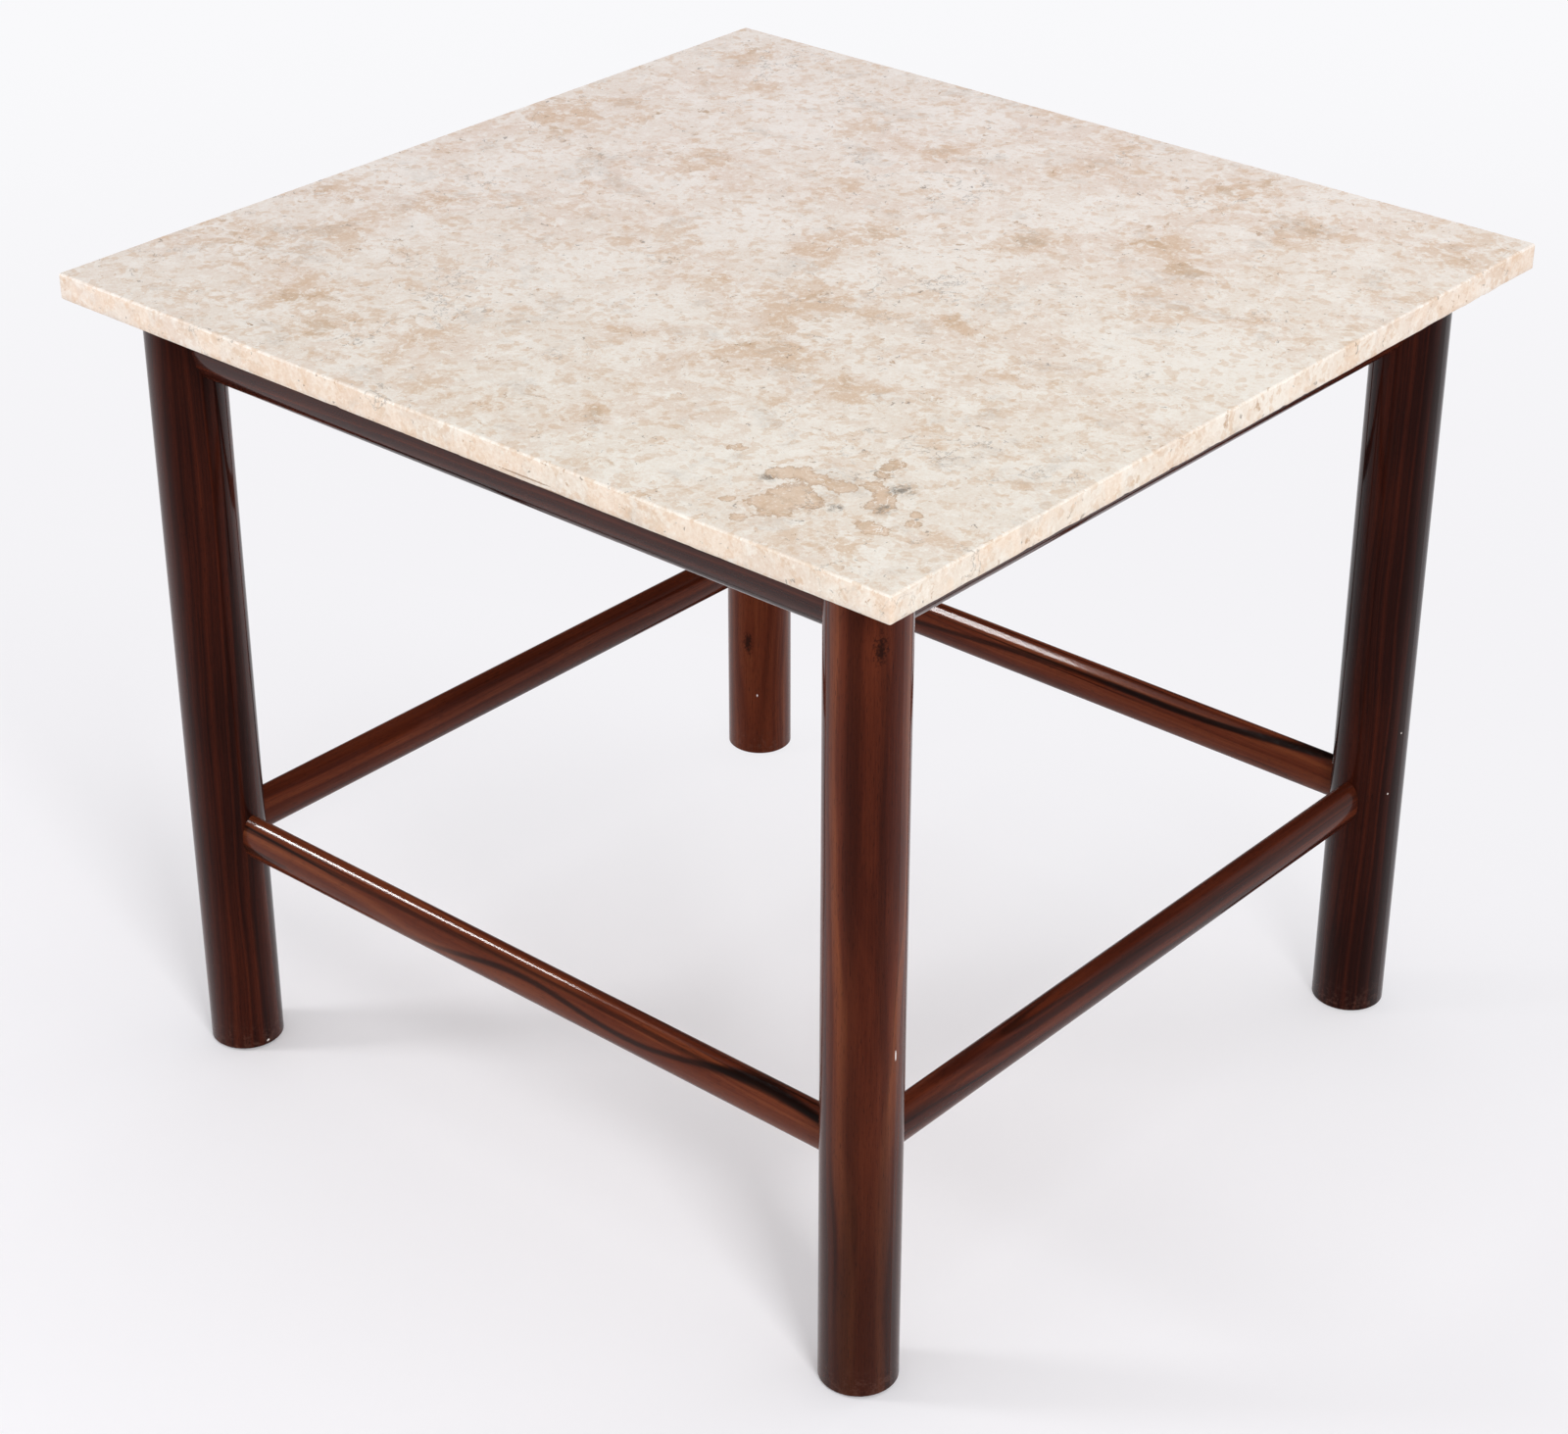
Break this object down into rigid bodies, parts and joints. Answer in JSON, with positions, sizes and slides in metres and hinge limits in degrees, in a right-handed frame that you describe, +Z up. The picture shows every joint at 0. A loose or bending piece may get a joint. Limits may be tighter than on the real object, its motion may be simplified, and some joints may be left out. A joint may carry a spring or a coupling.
{
  "type": "stone-topped table",
  "caption": "Four-sided dining table: a loose pale stone slab on a base of round dark hardwood legs, deep oval rails under the slab and smaller oval stretchers low down.",
  "frame": {"origin": "on the floor, midway between the legs and under the middle of the slab", "axes": "+Z up, +X along the longer edges of the slab to the right, front is -Y"},
  "size_m": [0.86, 0.83, 0.733],
  "materials": {
    "stone": "honed pale limestone with tan clouds, fine veins and small pits",
    "rosewood": "polished dark red-brown rosewood with near-black streaks",
    "peg_wood": "plain unfinished hardwood",
    "cushion_rubber": "matt soft rubber",
    "felt": "pressed dark felt"
  },
  "bodies": {
    "base": {"rail_front": "rosewood", "stretcher_front": "rosewood", "rail_right": "rosewood", "stretcher_right": "rosewood", "rail_back": "rosewood", "stretcher_back": "rosewood", "rail_left": "rosewood", "stretcher_left": "rosewood", "leg_front_right": "rosewood", "rail_pegs_front_right": "peg_wood", "top_pad_front_right": "cushion_rubber", "foot_pad_front_right": "felt", "leg_front_left": "rosewood", "rail_pegs_front_left": "peg_wood", "top_pad_front_left": "cushion_rubber", "foot_pad_front_left": "felt", "leg_back_right": "rosewood", "rail_pegs_back_right": "peg_wood", "top_pad_back_right": "cushion_rubber", "foot_pad_back_right": "felt", "leg_back_left": "rosewood", "rail_pegs_back_left": "peg_wood", "top_pad_back_left": "cushion_rubber", "foot_pad_back_left": "felt"},
    "top": {"stone_top": "stone"}
  },
  "joints": [
    {"name": "top_lift", "type": "slide", "parent": "base", "child": "top", "axis": [0, 0, 1], "range_m": [0, 0.12]}
  ]
}
